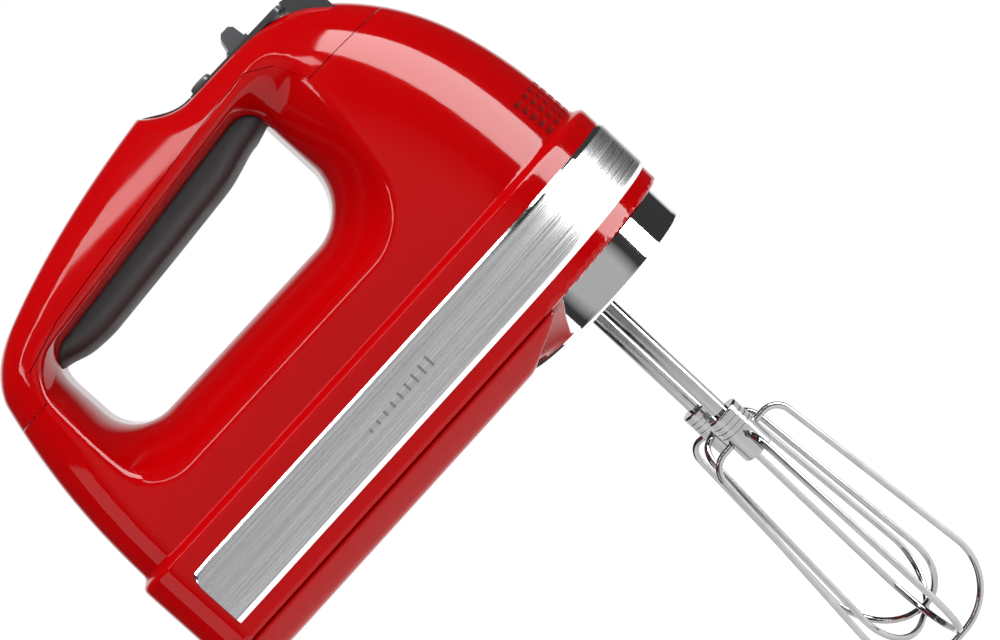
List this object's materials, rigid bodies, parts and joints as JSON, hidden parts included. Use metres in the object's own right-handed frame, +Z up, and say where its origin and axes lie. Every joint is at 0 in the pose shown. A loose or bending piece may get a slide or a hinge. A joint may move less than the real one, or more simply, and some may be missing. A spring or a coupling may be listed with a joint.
{
  "type": "hand mixer",
  "caption": "Two-beater electric kitchen hand mixer with a looped handle, a steel band round a red body, top controls and a worm-driven pair of wire beaters that eject.",
  "frame": {"origin": "centre of the hand grip, in the middle of the handle", "axes": "+X towards the nose, +Z up away from the beaters, +Y to the user's left"},
  "size_m": [0.2058, 0.0904, 0.3078],
  "materials": {
    "red_gloss": "high-gloss candy red moulded ABS",
    "steel_band": "brushed stainless sheet, polished edges",
    "chrome": "bright chrome plate",
    "bright_wire": "polished stainless steel wire and rod",
    "grip_rubber": "soft-touch dark grey rubber, fine matt grain",
    "dark_plastic": "satin dark grey moulded plastic",
    "button_plastic": "satin grey moulded plastic",
    "lens": "smoked clear display window",
    "black_plastic": "black glass-filled plastic",
    "zinc": "plain die-cast metal",
    "steel": "turned steel",
    "bronze": "oil-filled sintered bronze",
    "copper": "enamelled copper",
    "laminations": "varnished lamination stack",
    "nylon": "natural nylon",
    "board": "green solder-masked board",
    "carbon": "carbon"
  },
  "bodies": {
    "housing": {"lower_housing": "red_gloss", "top_housing": "red_gloss", "base_plate": "red_gloss", "trim_band": "steel_band", "bottom_collar": "chrome", "socket_plate": "dark_plastic", "handle_grip": "grip_rubber", "control_panel": "dark_plastic", "display_lens": "lens", "circuit_board": "board", "case_screws": "steel", "gearbox_frame": "zinc", "spindle_bushes": "bronze", "shaft_bearings": "bronze", "stator_core": "laminations", "field_coils": "copper", "rear_bracket": "black_plastic", "brush_holders": "black_plastic", "carbon_brushes": "carbon", "brush_springs": "steel", "eject_spring": "steel"},
    "armature": {"armature_shaft": "steel", "armature_core": "laminations", "armature_windings": "copper", "commutator": "copper", "cooling_fan": "black_plastic", "drive_worm": "steel"},
    "power_switch": {"power_switch": "button_plastic"},
    "speed_up": {"speed_up_button": "button_plastic"},
    "speed_down": {"speed_down_button": "button_plastic"},
    "ejector": {"eject_button": "dark_plastic", "eject_yoke": "black_plastic"},
    "cord_gland": {"cord_gland": "grip_rubber"},
    "spindle_left": {"spindle_left": "steel", "worm_wheel_left": "nylon"},
    "eject_pin_left": {"eject_pin_left": "steel"},
    "beater_left": {"beater_shaft_left": "bright_wire", "beater_hub_left": "bright_wire", "outer_wire_left": "bright_wire", "inner_wire_left": "bright_wire"},
    "spindle_right": {"spindle_right": "steel", "worm_wheel_right": "nylon"},
    "eject_pin_right": {"eject_pin_right": "steel"},
    "beater_right": {"beater_shaft_right": "bright_wire", "beater_hub_right": "bright_wire", "outer_wire_right": "bright_wire", "inner_wire_right": "bright_wire"}
  },
  "joints": [
    {"name": "motor_spin", "type": "hinge", "parent": "housing", "child": "armature", "pos_m": [0.08, 0, -0.08], "axis": [1, 0, 0], "continuous": true},
    {"name": "power_slide", "type": "slide", "parent": "housing", "child": "power_switch", "axis": [1, 0, 0], "range_m": [0, 0.005]},
    {"name": "speed_up_press", "type": "slide", "parent": "housing", "child": "speed_up", "axis": [0, 0, -1], "range_m": [0, 0.001], "stiffness_N_per_m": 400, "springref_m": -0.001},
    {"name": "speed_down_press", "type": "slide", "parent": "housing", "child": "speed_down", "axis": [0, 0, -1], "range_m": [0, 0.001], "stiffness_N_per_m": 400, "springref_m": -0.001},
    {"name": "eject_press", "type": "slide", "parent": "housing", "child": "ejector", "axis": [0, 0, -1], "range_m": [0, 0.006], "stiffness_N_per_m": 500, "springref_m": -0.002, "deforming": ["eject_spring"]},
    {"name": "gland_swivel", "type": "hinge", "parent": "housing", "child": "cord_gland", "pos_m": [-0.057, 0, -0.118], "axis": [0, 0, 1], "range_deg": [-90, 90]},
    {"name": "beater_spin_left", "type": "hinge", "parent": "housing", "child": "spindle_left", "pos_m": [0.08, 0.018, -0.122], "axis": [0, 0, 1], "continuous": true},
    {"name": "pin_push_left", "type": "slide", "parent": "spindle_left", "child": "eject_pin_left", "axis": [0, 0, -1], "range_m": [0, 0.006]},
    {"name": "beater_pull_left", "type": "slide", "parent": "eject_pin_left", "child": "beater_left", "axis": [0, 0, -1], "range_m": [0, 0.05]},
    {"name": "beater_spin_right", "type": "hinge", "parent": "housing", "child": "spindle_right", "pos_m": [0.08, -0.018, -0.122], "axis": [0, 0, 1], "continuous": true},
    {"name": "pin_push_right", "type": "slide", "parent": "spindle_right", "child": "eject_pin_right", "axis": [0, 0, -1], "range_m": [0, 0.006]},
    {"name": "beater_pull_right", "type": "slide", "parent": "eject_pin_right", "child": "beater_right", "axis": [0, 0, -1], "range_m": [0, 0.05]}
  ],
  "couplings": [
    {"joint": "beater_spin_left", "follows": "motor_spin", "ratio": 0.1},
    {"joint": "pin_push_left", "follows": "eject_press", "ratio": 1},
    {"joint": "beater_spin_right", "follows": "motor_spin", "ratio": -0.1},
    {"joint": "pin_push_right", "follows": "eject_press", "ratio": 1}
  ]
}
